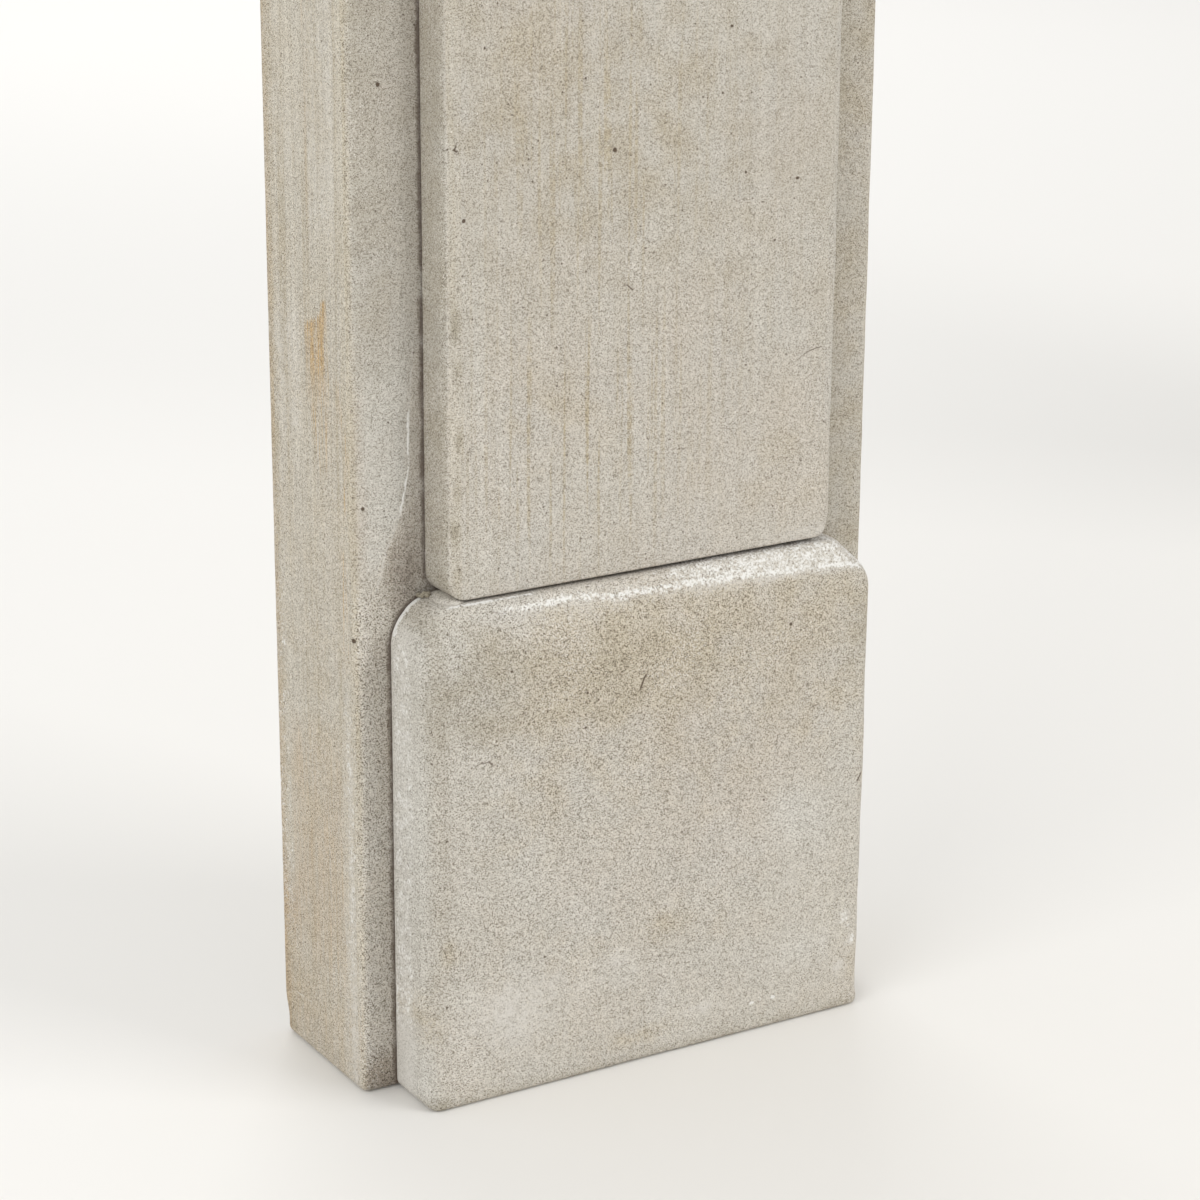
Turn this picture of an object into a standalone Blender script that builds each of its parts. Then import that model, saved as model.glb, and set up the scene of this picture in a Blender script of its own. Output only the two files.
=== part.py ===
"""Stone fireplace surround, in metres, +Z up.

Two jamb slabs stand at the sides of the opening and carry a lintel slab. Each jamb has a plinth
block at its foot with a plain pilaster standing on it, and a corner block sits on the pilaster
in front of the lintel's end. A plain frieze panel runs between the corner blocks, and a shelf
lies on top. The origin is on the floor, midway between the jambs and midway between the wall
face and the shelf's front edge. +X runs along the wall and +Y goes into it.
"""

import bmesh
import bpy
from mathutils import Vector

# Opening for the fire
OPENING_WIDTH = 0.915
OPENING_HEIGHT = 0.940

# Slabs that make the jambs and the lintel
JAMB_WIDTH = 0.231
SLAB_DEPTH = 0.071
LINTEL_HEIGHT = 0.200

# Plinth blocks, and the corner blocks that repeat them at the top
BLOCK_WIDTH = 0.203
BLOCK_PROJECTION = 0.0287
PLINTH_HEIGHT = 0.201

# Splayed shoulder of a plinth block, and the like edge under a corner block
SPLAY_HEIGHT = 0.0115
SPLAY_SIDE = 0.0105
SPLAY_FRONT = 0.0080

# Pilasters and frieze panel, raised from the slabs
PANEL_PROJECTION = 0.019
PILASTER_WIDTH = 0.173
FRIEZE_MARGIN = 0.029

# Shelf
SHELF_THICKNESS = 0.050
SHELF_FRONT_OVERHANG = 0.129
SHELF_END_OVERHANG = 0.0615
SHELF_SPLAY = 0.014

# Rounding of the worn edges, as the width taken off each face beside the edge
BLOCK_ARRIS = 0.0070
PANEL_ARRIS = 0.0050
PANEL_CORNER = 0.0085
SLAB_ARRIS = 0.0042
SHELF_ARRIS = 0.0080
SPLAY_ARRIS = 0.0045
BACK_ARRIS = 0.0025
FOOT_ARRIS = 0.0025
HEEL_ARRIS = 0.0060
BED_ARRIS = 0.0012
ARRIS_SEGMENTS = 4

# Gap left between pieces that touch
JOINT = 0.0005

# Stone colours as red, green and blue from 0 to 1, on the display's scale
SLAB_COLOUR = (0.71, 0.68, 0.63)
BLOCK_COLOUR = (0.75, 0.72, 0.67)
PANEL_COLOUR = (0.75, 0.73, 0.68)
SHELF_COLOUR = (0.74, 0.72, 0.67)
STONE_ROUGHNESS = 0.9

# Places worked out from the sizes above
total_depth = SLAB_DEPTH + SHELF_FRONT_OVERHANG
back_y = total_depth / 2
slab_front_y = back_y - SLAB_DEPTH
facing_back_y = slab_front_y - JOINT
jamb_x = (OPENING_WIDTH + JAMB_WIDTH) / 2
slab_length = OPENING_WIDTH + 2 * JAMB_WIDTH
lintel_top_z = OPENING_HEIGHT + LINTEL_HEIGHT
pilaster_bottom_z = PLINTH_HEIGHT + JOINT

SIDES = {
    "left": Vector((-1, 0, 0)),
    "right": Vector((1, 0, 0)),
    "front": Vector((0, -1, 0)),
    "back": Vector((0, 1, 0)),
    "bottom": Vector((0, 0, -1)),
    "top": Vector((0, 0, 1)),
}
SAME_DIRECTION = 0.999
MERGE_DISTANCE = 0.0001


def linear(channel):
    """One channel of a display colour as the linear value that a shader takes."""
    if channel <= 0.04045:
        return channel / 12.92
    return ((channel + 0.055) / 1.055) ** 2.4


def stone_material(name, colour):
    material = bpy.data.materials.new(name)
    material.use_nodes = True
    shader = material.node_tree.nodes["Principled BSDF"]
    shader.inputs["Base Color"].default_value = (*map(linear, colour), 1.0)
    shader.inputs["Roughness"].default_value = STONE_ROUGHNESS
    shader.inputs["Metallic"].default_value = 0.0
    material.diffuse_color = (*colour, 1.0)
    return material


def side_of(face):
    """The name of the side that a face looks to, or splay for a slanted one."""
    for name, direction in SIDES.items():
        if face.normal.dot(direction) > SAME_DIRECTION:
            return name
    return "splay"


def add_splay(bm, edge_z, cut_z, side_inset, front_inset):
    """Slants the left, right and front faces between cut_z and the block's end at edge_z."""
    bmesh.ops.bisect_plane(
        bm,
        geom=bm.verts[:] + bm.edges[:] + bm.faces[:],
        dist=MERGE_DISTANCE,
        plane_co=(0, 0, cut_z),
        plane_no=(0, 0, 1),
    )
    for vert in bm.verts:
        if abs(vert.co.z - edge_z) < MERGE_DISTANCE:
            vert.co.x -= side_inset if vert.co.x > 0 else -side_inset
            if vert.co.y < -MERGE_DISTANCE:
                vert.co.y += front_inset


def arrises_of(upright, foot, head, heel, back, corners, splay=0.0):
    """Roundings by kind of edge.

    upright, foot and head are around the front face, heel and back around the back face, and
    corners are the lower and upper edges that run from front to back.
    """
    return {
        "upright": upright,
        "foot": foot,
        "head": head,
        "heel": heel,
        "back": back,
        "low_corner": corners[0],
        "high_corner": corners[1],
        "splay": splay,
    }


def kind_of(sides):
    """The kind of the edge between two sides, as arrises_of names it."""
    if "back" in sides:
        return "heel" if "bottom" in sides else "back"
    if "splay" in sides:
        return "splay"
    if "front" in sides:
        return "foot" if "bottom" in sides else "head" if "top" in sides else "upright"
    return "low_corner" if "bottom" in sides else "high_corner"


def block_mesh(name, size, arrises, colour, splay=None):
    """A block centred on X, with its back at Y = 0 and its underside at Z = 0.

    splay is (end, height, side_inset, front_inset), where end is top or bottom.
    """
    width, depth, height = size
    bm = bmesh.new()
    bmesh.ops.create_cube(bm, size=1.0)
    bmesh.ops.scale(bm, vec=size, verts=bm.verts)
    bmesh.ops.translate(bm, vec=(0, -depth / 2, height / 2), verts=bm.verts)
    if splay:
        end, splay_height, side_inset, front_inset = splay
        edge_z = height if end == "top" else 0.0
        cut_z = height - splay_height if end == "top" else splay_height
        add_splay(bm, edge_z, cut_z, side_inset, front_inset)
    bm.normal_update()
    weights = bm.edges.layers.float.new("bevel_weight_edge")
    widest = max(arrises.values())
    for edge in bm.edges:
        sides = [side_of(face) for face in edge.link_faces]
        if sides[0] != sides[1] or sides[0] == "splay":
            edge[weights] = arrises[kind_of(sides)] / widest
    mesh = bpy.data.meshes.new(name)
    bm.to_mesh(mesh)
    bm.free()
    mesh.shade_smooth()
    mesh.materials.append(stone_material(name + "_stone", colour))
    return mesh, widest


def place(name, mesh_and_width, location, collection, parent):
    mesh, arris_width = mesh_and_width
    piece = bpy.data.objects.new(name, mesh)
    piece.location = location
    piece.parent = parent
    collection.objects.link(piece)
    rounding = piece.modifiers.new("worn_arrises", "BEVEL")
    rounding.limit_method = "WEIGHT"
    rounding.offset_type = "OFFSET"
    rounding.width = arris_width
    rounding.segments = ARRIS_SEGMENTS
    rounding.harden_normals = True
    return piece


def jamb_slab():
    return block_mesh(
        "jamb_slab",
        (JAMB_WIDTH, SLAB_DEPTH, OPENING_HEIGHT - JOINT),
        arrises_of(
            SLAB_ARRIS, FOOT_ARRIS, BED_ARRIS, HEEL_ARRIS, BACK_ARRIS, (FOOT_ARRIS, BED_ARRIS)
        ),
        SLAB_COLOUR,
    )


def lintel_slab():
    return block_mesh(
        "lintel_slab",
        (slab_length, SLAB_DEPTH, LINTEL_HEIGHT),
        arrises_of(
            SLAB_ARRIS, SLAB_ARRIS, BED_ARRIS, BACK_ARRIS, BACK_ARRIS, (BED_ARRIS, BED_ARRIS)
        ),
        SLAB_COLOUR,
    )


def plinth_block():
    return block_mesh(
        "plinth_block",
        (BLOCK_WIDTH, BLOCK_PROJECTION - JOINT, PLINTH_HEIGHT),
        arrises_of(BLOCK_ARRIS, FOOT_ARRIS, 0.0, 0.0, 0.0, (FOOT_ARRIS, 0.0), SPLAY_ARRIS),
        BLOCK_COLOUR,
        splay=("top", SPLAY_HEIGHT, SPLAY_SIDE, SPLAY_FRONT),
    )


def corner_block():
    return block_mesh(
        "corner_block",
        (BLOCK_WIDTH, BLOCK_PROJECTION - JOINT, LINTEL_HEIGHT),
        arrises_of(BLOCK_ARRIS, 0.0, BED_ARRIS, 0.0, 0.0, (0.0, BED_ARRIS), SPLAY_ARRIS),
        BLOCK_COLOUR,
        splay=("bottom", SPLAY_HEIGHT, SPLAY_SIDE, SPLAY_FRONT),
    )


def pilaster():
    height = OPENING_HEIGHT - JOINT - pilaster_bottom_z
    return block_mesh(
        "pilaster",
        (PILASTER_WIDTH, PANEL_PROJECTION - JOINT, height),
        arrises_of(PANEL_ARRIS, BED_ARRIS, BED_ARRIS, 0.0, 0.0, (PANEL_CORNER, PANEL_CORNER)),
        PANEL_COLOUR,
    )


def frieze_panel():
    length = 2 * jamb_x - BLOCK_WIDTH - 2 * JOINT
    return block_mesh(
        "frieze_panel",
        (length, PANEL_PROJECTION - JOINT, LINTEL_HEIGHT - 2 * FRIEZE_MARGIN),
        arrises_of(BED_ARRIS, PANEL_ARRIS, PANEL_ARRIS, 0.0, 0.0, (PANEL_CORNER, PANEL_CORNER)),
        PANEL_COLOUR,
    )


def mantel_shelf():
    return block_mesh(
        "mantel_shelf",
        (slab_length + 2 * SHELF_END_OVERHANG, total_depth, SHELF_THICKNESS),
        arrises_of(
            SHELF_ARRIS, 0.0, SHELF_ARRIS, BACK_ARRIS, BACK_ARRIS, (0.0, SHELF_ARRIS), SPLAY_ARRIS
        ),
        SHELF_COLOUR,
        splay=("bottom", SHELF_SPLAY, SHELF_SPLAY, SHELF_SPLAY),
    )


def build():
    for old in list(bpy.data.objects):
        bpy.data.objects.remove(old)
    collection = bpy.data.collections.new("fireplace_surround")
    bpy.context.scene.collection.children.link(collection)
    surround = bpy.data.objects.new("fireplace_surround_origin", None)
    collection.objects.link(surround)

    pairs = {
        "jamb_slab": (jamb_slab(), back_y, 0.0),
        "plinth_block": (plinth_block(), facing_back_y, 0.0),
        "pilaster": (pilaster(), facing_back_y, pilaster_bottom_z),
        "corner_block": (corner_block(), facing_back_y, OPENING_HEIGHT),
    }
    for name, (mesh, y, z) in pairs.items():
        for side, x in (("left", -jamb_x), ("right", jamb_x)):
            place(f"{side}_{name}", mesh, (x, y, z), collection, surround)

    frieze_z = OPENING_HEIGHT + FRIEZE_MARGIN
    shelf_z = lintel_top_z + JOINT
    place("lintel_slab", lintel_slab(), (0, back_y, OPENING_HEIGHT), collection, surround)
    place("frieze_panel", frieze_panel(), (0, facing_back_y, frieze_z), collection, surround)
    place("mantel_shelf", mantel_shelf(), (0, back_y, shelf_z), collection, surround)


build()
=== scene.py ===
"""Looks of the stone fireplace surround: worn, stained blocks of fine buff-grey sandstone.

Every block of the frame is rebuilt as a denser closed mesh that lies just inside the solid, with
rounded, uneven arrises, small chips and a slightly uneven face. One node material colours them
all: its fine grain comes from noise, and its stains from masks that each mesh carries, along
with painted shade by the joints and painted highlight on the arrises and a side face.
"""

import math
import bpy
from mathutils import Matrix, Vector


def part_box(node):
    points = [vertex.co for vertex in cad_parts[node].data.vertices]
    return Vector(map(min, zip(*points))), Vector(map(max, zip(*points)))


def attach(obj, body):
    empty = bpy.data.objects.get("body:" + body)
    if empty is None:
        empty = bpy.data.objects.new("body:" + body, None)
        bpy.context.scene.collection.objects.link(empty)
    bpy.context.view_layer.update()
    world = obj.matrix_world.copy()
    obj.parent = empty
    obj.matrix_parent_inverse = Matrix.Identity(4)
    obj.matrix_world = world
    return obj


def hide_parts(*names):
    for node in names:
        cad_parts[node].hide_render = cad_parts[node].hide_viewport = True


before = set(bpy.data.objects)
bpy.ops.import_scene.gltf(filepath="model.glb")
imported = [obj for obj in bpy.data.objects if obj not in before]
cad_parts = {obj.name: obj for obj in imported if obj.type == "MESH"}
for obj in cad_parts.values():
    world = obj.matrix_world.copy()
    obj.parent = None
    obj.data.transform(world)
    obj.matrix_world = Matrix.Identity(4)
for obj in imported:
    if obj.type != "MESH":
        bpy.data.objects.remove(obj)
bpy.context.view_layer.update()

from types import SimpleNamespace

import bmesh
import bpy
import numpy as np
from mathutils import Matrix, Vector

MM = 0.001

# The left jamb's outer front foot corner, from which the camera and the stains are measured
ORIGIN = np.array(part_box("left_jamb_slab")[0])

CAMERA_PLACE = Vector((-506.3, -1010.7, 567.2)) * MM
CAMERA_YAW = math.radians(31.21)
CAMERA_PITCH = math.radians(-17.89)
CAMERA_ROLL = math.radians(0.35)
CAMERA_LENS = 96.0
CAMERA_SENSOR = 36.0

# Mesh spacing: fine in EDGE_ZONE at each end, then wider by GROWTH of the way
EDGE_ZONE = 3 * MM
GROWTH = 0.17
LATTICE_SAMPLES = 6000

# Surface: how far it lies inside the solid, and how uneven it is as a size and a wavelength
SKIN = 0.2 * MM
LEAST_SKIN = 0.02 * MM
LONG_UNEVENNESS = (0.07 * MM, 140 * MM)
SHORT_UNEVENNESS = (0.035 * MM, 14 * MM)
ARRIS_UNEVENNESS = (0.09, 45 * MM)
CHIP_ROUND = 0.35 * MM

# Where one rounding passes into another: beside a corner, above the heel as a multiple of its
# rounding, and near a splayed end as a multiple of the splay's height
RADIUS_BLEND = 5 * MM
HEEL_BLEND = 3
HIP_BLEND = (-1.7, -0.6)

# Steps that move a lattice onto the surface
SETTLE_STEPS = 6
SLOPE_REACH = 0.02 * MM
LEAST_STEEPNESS = 0.3

# Left pilaster in millimetres from ORIGIN, and how much higher the right end of its underside
# lies
PILASTER_LEFT = 29
PILASTER_WIDTH = 173
PILASTER_FOOT = 201.5
SLOPE_OF_BED = 0.9 * MM


def rise(value, start, end):
    """0 up to start and 1 from end on, smooth between. start may be the greater one."""
    share = np.clip((value - start) / (end - start), 0, 1)
    return share * share * (3 - 2 * share)


def waves(points, wavelength, seed, count=16):
    """Smooth irregular variation, mostly from -1 to 1, as a sum of waves in random directions."""
    random = np.random.default_rng(seed)
    directions = random.normal(size=(count, 3))
    directions /= np.linalg.norm(directions, axis=1)[:, None]
    rates = 2 * np.pi / wavelength * random.uniform(0.6, 1.6, count)
    phases = random.uniform(0, 2 * np.pi, count)
    angles = points @ (directions * rates[:, None]).T + phases
    return np.sin(angles).sum(1) / math.sqrt(2 * count)


def round_max(a, b, radius):
    """The greater of two distances, with the edge where they cross rounded."""
    inner = np.minimum(np.maximum(a, b), -radius)
    return inner + np.hypot(np.maximum(a + radius, 0), np.maximum(b + radius, 0))


def lattice_lines(low, high, fine, coarse, zones):
    """Places from low to high: fine apart at both ends, as close as the zones
    (start, end, step) ask between them, else coarse apart.
    """
    place = np.linspace(low, high, LATTICE_SAMPLES)
    step = np.full_like(place, coarse)
    edges = [(low, low + EDGE_ZONE, fine), (high - EDGE_ZONE, high, fine)]
    for start, end, closest in edges + zones:
        away = np.maximum(np.maximum(start - place, place - end), 0)
        step = np.minimum(step, closest + GROWTH * away)
    rate = 1 / step
    count = np.concatenate([[0], np.cumsum((rate[1:] + rate[:-1]) / 2 * np.diff(place))])
    wanted = np.linspace(0, count[-1], math.ceil(count[-1]) + 1)
    return np.interp(wanted, count, place)


def lattice(xs, ys, zs):
    """Points and outward quads of a box whose faces carry the given lines."""
    shell = np.ones((len(xs), len(ys), len(zs)), bool)
    shell[1:-1, 1:-1, 1:-1] = False
    number = np.full(shell.shape, -1)
    number[shell] = np.arange(shell.sum())
    i, j, k = np.nonzero(shell)
    points = np.stack([xs[i], ys[j], zs[k]], axis=1)
    sheets = [
        (number[0], True),
        (number[-1], False),
        (number[:, 0], False),
        (number[:, -1], True),
        (number[:, :, 0], True),
        (number[:, :, -1], False),
    ]
    faces = []
    for sheet, flip in sheets:
        corners = [sheet[:-1, :-1], sheet[1:, :-1], sheet[1:, 1:], sheet[:-1, 1:]]
        quads = np.stack(corners, axis=-1).reshape(-1, 4)
        faces.append(quads[:, ::-1] if flip else quads)
    return points, np.concatenate(faces)


class Form:
    """Rounding radii of a block and its splay, all in metres."""

    def __init__(self, front, foot, head, back, heel, corners, splay=None):
        self.front = front * MM
        self.foot = foot * MM
        self.head = head * MM
        self.back = back * MM
        self.heel = heel * MM
        self.corner_low, self.corner_high = (value * MM for value in corners)
        self.splay = splay


class Splay:
    """A slanted band at one end of a block, on its left, right and front. hip is the rounding
    where two of its slants meet.
    """

    def __init__(self, end, height, side, front, side_rounding, front_rounding, hip):
        self.end = end
        self.height = height * MM
        self.side = side * MM
        self.front = front * MM
        self.side_rounding = side_rounding * MM
        self.front_rounding = front_rounding * MM
        self.hip = hip * MM

    def slant(self, plane, past_end, inset):
        """Distance from the slanted plane, from those to the upright face and to the end."""
        across = plane * self.height + (past_end + self.height) * inset
        return across / math.hypot(self.height, inset)


class Block:
    """The worn surface of one block, as a field that is negative inside."""

    def __init__(self, node, form):
        self.low, self.high = (np.array(corner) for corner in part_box(node))
        self.form = form
        self.chips = ()
        self.slope_of_bed = 0.0

    def planes(self, points):
        """Distances past each side, counting the splay's slants: ends, front, back, low, top."""
        x, y, z = points.T
        ends = np.maximum(self.low[0] - x, x - self.high[0])
        front, back = self.low[1] - y, y - self.high[1]
        across = (x - self.low[0]) / (self.high[0] - self.low[0])
        bottom, top = self.low[2] + self.slope_of_bed * across - z, z - self.high[2]
        splay = self.form.splay
        if splay:
            past_end = top if splay.end == "top" else bottom
            slanted = splay.slant(ends, past_end, splay.side)
            ends = round_max(ends, slanted, splay.side_rounding)
            slanted = splay.slant(front, past_end, splay.front)
            front = round_max(front, slanted, splay.front_rounding)
        return ends, front, back, bottom, top

    def outline(self, ends, bottom, top):
        """Distance past the outline that the block shows from the front, with its corners round."""
        corner = np.where(bottom > top, self.form.corner_low, self.form.corner_high)
        return round_max(ends, np.maximum(bottom, top), corner)

    def field(self, points, wear, skin):
        form = self.form
        ends, front, back, bottom, top = self.planes(points)
        outline = self.outline(ends, bottom, top)
        level = np.where(bottom > top, form.foot, form.head)
        upright = rise(ends - np.maximum(bottom, top), -RADIUS_BLEND, RADIUS_BLEND)
        arris = form.front
        if form.splay:
            past_end = top if form.splay.end == "top" else bottom
            on_splay = rise(past_end / form.splay.height, *HIP_BLEND)
            arris = arris + (form.splay.hip - arris) * on_splay
        rounding = (level + (arris - level) * upright) * wear
        heel = form.back + (form.heel - form.back) * rise(-bottom, HEEL_BLEND * form.heel, form.heel)
        rounding = np.where(front > back, rounding, heel)
        value = round_max(outline, np.maximum(front, back), rounding) + skin
        for centre, reach in self.chips:
            near = np.nonzero(np.abs(points[:, 2] - centre[2]) < reach + 4 * CHIP_ROUND)[0]
            bite = reach - np.linalg.norm(points[near] - centre, axis=1)
            value[near] = round_max(value[near], bite, CHIP_ROUND)
        return value

    def arris(self, points):
        """How far each point lies from the sharp-edged form, in metres: large on an arris."""
        return -np.max(self.planes(points), axis=0)

    def settle(self, points, seed):
        """Moves the lattice onto the worn surface."""
        size, length = ARRIS_UNEVENNESS
        wear = 1 + size * waves(points, length, seed)
        skin = np.full(len(points), SKIN)
        for number, (size, length) in enumerate((LONG_UNEVENNESS, SHORT_UNEVENNESS), 1):
            skin += size * waves(points, length, seed + number)
        skin = np.maximum(skin, LEAST_SKIN)
        for _ in range(SETTLE_STEPS):
            value = self.field(points, wear, skin)
            slope = np.empty_like(points)
            for axis in range(3):
                step = np.zeros(3)
                step[axis] = SLOPE_REACH
                ahead = self.field(points + step, wear, skin)
                behind = self.field(points - step, wear, skin)
                slope[:, axis] = (ahead - behind) / (2 * SLOPE_REACH)
            steepness = np.maximum((slope**2).sum(1), LEAST_STEEPNESS)
            points = points - (value / steepness)[:, None] * slope
        return points


def make_mesh(name, points, faces, masks):
    mesh = bpy.data.meshes.new(name)
    mesh.from_pydata(points, [], faces)
    mesh.update()
    mesh.shade_smooth()
    for mask, values in vars(masks).items():
        vector = values.ndim == 2
        layer = mesh.attributes.new(mask, "FLOAT_VECTOR" if vector else "FLOAT", "POINT")
        key = "vector" if vector else "value"
        layer.data.foreach_set(key, np.ascontiguousarray(values, np.float32).ravel())
    return mesh


class Shader:
    """Short ways to add and link nodes in one material."""

    def __init__(self, material):
        self.tree = material.node_tree

    def node(self, kind, inputs=(), **settings):
        made = self.tree.nodes.new("ShaderNode" + kind)
        for key, value in settings.items():
            setattr(made, key, value)
        for key, value in dict(inputs).items():
            if isinstance(value, bpy.types.NodeSocket):
                self.tree.links.new(value, made.inputs[key])
            else:
                made.inputs[key].default_value = value
        return made

    def math(self, operation, a, b=0.0, c=0.0):
        return self.node("Math", {0: a, 1: b, 2: c}, operation=operation).outputs[0]

    def add(self, a, b):
        return self.math("ADD", a, b)

    def times(self, a, b):
        return self.math("MULTIPLY", a, b)

    def times_plus(self, a, b, c):
        """a times b, plus c."""
        return self.math("MULTIPLY_ADD", a, b, c)

    def rise(self, value, start, end):
        """0 up to start and 1 from end on, smooth between."""
        inputs = {"Value": value, "From Min": start, "From Max": end}
        return self.node("MapRange", inputs, interpolation_type="SMOOTHSTEP").outputs["Result"]

    def mix(self, share, a, b, blend="MIX"):
        inputs = {0: share, 6: a, 7: b}
        return self.node("Mix", inputs, data_type="RGBA", blend_type=blend).outputs[2]

    def noise(self, vector, scale, detail, roughness):
        inputs = {"Vector": vector, "Scale": scale, "Detail": detail, "Roughness": roughness}
        return self.node("TexNoise", inputs).outputs[0]

    def stretched(self, vector, factors):
        inputs = {0: vector, 1: factors}
        return self.node("VectorMath", inputs, operation="MULTIPLY").outputs[0]

    def attribute(self, name):
        return self.node("Attribute", attribute_type="GEOMETRY", attribute_name=name)

    def mask(self, name):
        return self.attribute(name).outputs["Fac"]

    def vector(self, name):
        return self.attribute(name).outputs["Vector"]


def linear(colour):
    """A display colour from 0 to 255 as the linear one that a shader takes."""
    shares = [channel / 255 for channel in colour]
    shares = [c / 12.92 if c <= 0.04045 else ((c + 0.055) / 1.055) ** 2.4 for c in shares]
    return (*shares, 1.0)


# Masks that every mesh carries. FAR stands for a place far from any line or mark, and marks are
# measured up to MARK_REACH from them, both in millimetres.
MASKS = (
    "arris", "cream", "warm", "brown", "olive", "grey", "grime", "rust", "drag", "strokes",
    "dust", "lime", "coarse",
)
FAR = 60.0
MARK_REACH = 6.0

# Colours of the stone and its stains. The grime colour also paints shade by the joints, and the
# dust colour also paints highlight on the arrises and a side face.
STONE = (182, 177, 167)
STONE_BUFF = (180, 172, 160)
STONE_GREY = (180, 176, 168)
CREAM = (189, 182, 167)
OCHRE = (172, 162, 143)
OLIVE = (142, 135, 119)
GREY_GREEN = (187, 184, 176)
GRIME_AND_SHADE = (96, 81, 69)
RUST = (174, 141, 88)
STROKE = (162, 150, 126)
BROWN = (168, 146, 118)
PALE_STREAK = (203, 197, 185)
DUST_AND_PAINTED_LIGHT = (208, 204, 197)
LIME = (229, 228, 224)
DARK_GRAIN = (74, 57, 43)
LIGHT_GRAIN = (224, 220, 213)

# How strongly the grain darkens and lightens red, green and blue
GRAIN_TINT = (0.95, 1.0, 1.07)

# Noises in the stone: scale for a metre, detail, roughness, and the stretch that draws one out
# into upright lines
NOISES = {
    "middle": (1000, 2.0, 0.6, 1),
    "mottle": (75, 1.5, 0.6, 1),
    "cloud": (10, 2.0, 0.5, 1),
    "drift": (23, 2.0, 0.5, 1),
    "ragged": (190, 4.0, 0.72, 1),
    "flecks": (1000, 2.0, 0.65, 1),
    "sand": (40, 3.0, 0.6, 1),
    "drag": (950, 3.0, 0.6, 0.03),
    "bands": (210, 2.0, 0.6, 0.02),
    "lines": (480, 1.0, 0.5, 0.02),
}

# Broad changes of tone and faint upright bands: noise, its values where they start and are
# full, strength and colour
CLOUDS = (
    ("cloud", 0.42, 0.68, 0.7, STONE_BUFF),
    ("drift", 0.45, 0.7, 0.5, STONE_GREY),
    ("mottle", 0.42, 0.68, 0.35, STONE_BUFF),
)
BANDS = (
    ("bands", 0.5, 0.66, 0.4, PALE_STREAK),
    ("bands", 0.48, 0.34, 0.35, STROKE),
)

# Stains by mask: colour, noise, how ragged it makes them, the mask's values where they start
# and are full, and strength. The grime mask also holds painted shade and the dust mask painted light.
STAINS = {
    "cream": (CREAM, "drag", 0.5, 0.05, 0.95, 0.95),
    "grey": (GREY_GREEN, "mottle", 0.9, 0.05, 0.95, 0.85),
    "warm": (OCHRE, "mottle", 1.0, 0.05, 0.95, 0.9),
    "brown": (BROWN, "drag", 1.1, 0.05, 1.0, 0.9),
    "olive": (OLIVE, "mottle", 0.6, 0.05, 1.0, 0.95),
    "rust": (RUST, "drag", 3.4, 0.2, 1.2, 0.85),
    "grime": (GRIME_AND_SHADE, "ragged", 0.6, 0.05, 1.1, 0.9),
    "dust": (DUST_AND_PAINTED_LIGHT, "patchy", 2.2, 0.2, 1.0, 0.75),
    "lime": (LIME, "patchy", 2.6, 0.42, 0.8, 0.9),
}

# Cells for a metre of the grains, the specks and the cracks
GRAIN_CELLS = 3000.0
SPECK_CELLS = 480.0
CRACK_CELLS = 62.0

# Cracks: turn and bend of the discs, and where their thickness and their radius fade out
CRACK_TURN = (6.3, 6.3, 6.3)
CRACK_BEND = 60.0
CRACK_THICKNESS = (0.22 * MM, 0.08 * MM)
CRACK_RADIUS = (2.6 * MM, 1.4 * MM)

# Finish of the stone
ROUGHNESS = 0.88
SPECULAR = 0.25
BUMP_STRENGTH = 0.45
BUMP_DISTANCE = 0.11 * MM


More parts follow.
